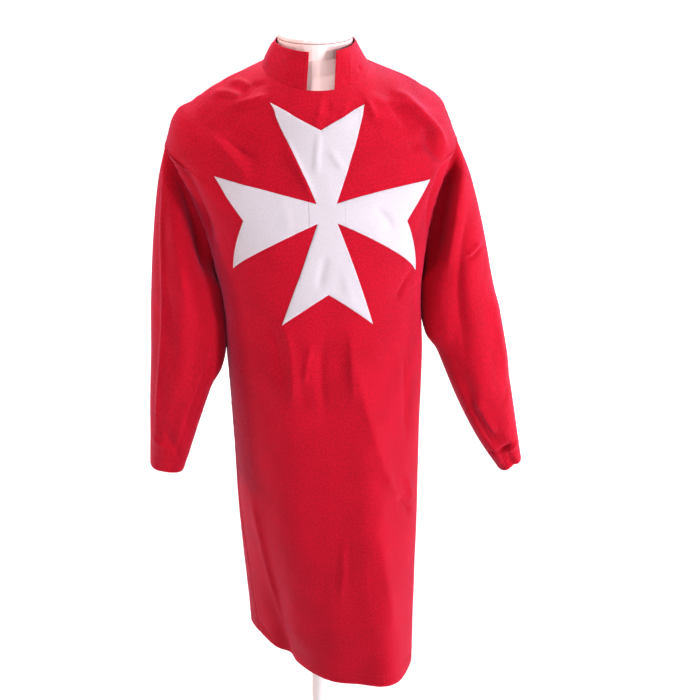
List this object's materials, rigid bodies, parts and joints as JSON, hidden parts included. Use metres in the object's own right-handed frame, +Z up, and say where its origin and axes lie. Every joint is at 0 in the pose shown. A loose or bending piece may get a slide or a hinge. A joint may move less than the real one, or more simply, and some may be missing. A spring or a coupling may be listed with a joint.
{
  "type": "tunic on a dress form",
  "caption": "Long red cloth tunic with standing collar, long sleeves and a white notched cross on the chest, draped on a headless, limbless dress form on a pole and round foot.",
  "frame": {"origin": "centre of the underside of the stand's foot, on the floor", "axes": "+Z up, -Y is the garment's front, +X is to the right as seen from the front"},
  "size_m": [0.6855, 0.3489, 1.5203],
  "materials": {
    "red_cotton": "matt cotton drill",
    "white_cotton": "matt plain weave",
    "form_covering": "smooth, matt",
    "white_paint": "smooth, satin"
  },
  "bodies": {
    "root": {"front": "red_cotton", "back_left": "red_cotton", "back_right": "red_cotton", "sleeve_left": "red_cotton", "sleeve_right": "red_cotton", "collar_left": "red_cotton", "collar_right": "red_cotton", "cross_upright": "white_cotton", "cross_left_arm": "white_cotton", "cross_right_arm": "white_cotton", "form_torso": "form_covering", "neck_cap": "form_covering", "pole_flange": "white_paint", "stand_pole": "white_paint", "stand_foot": "white_paint"}
  },
  "joints": []
}
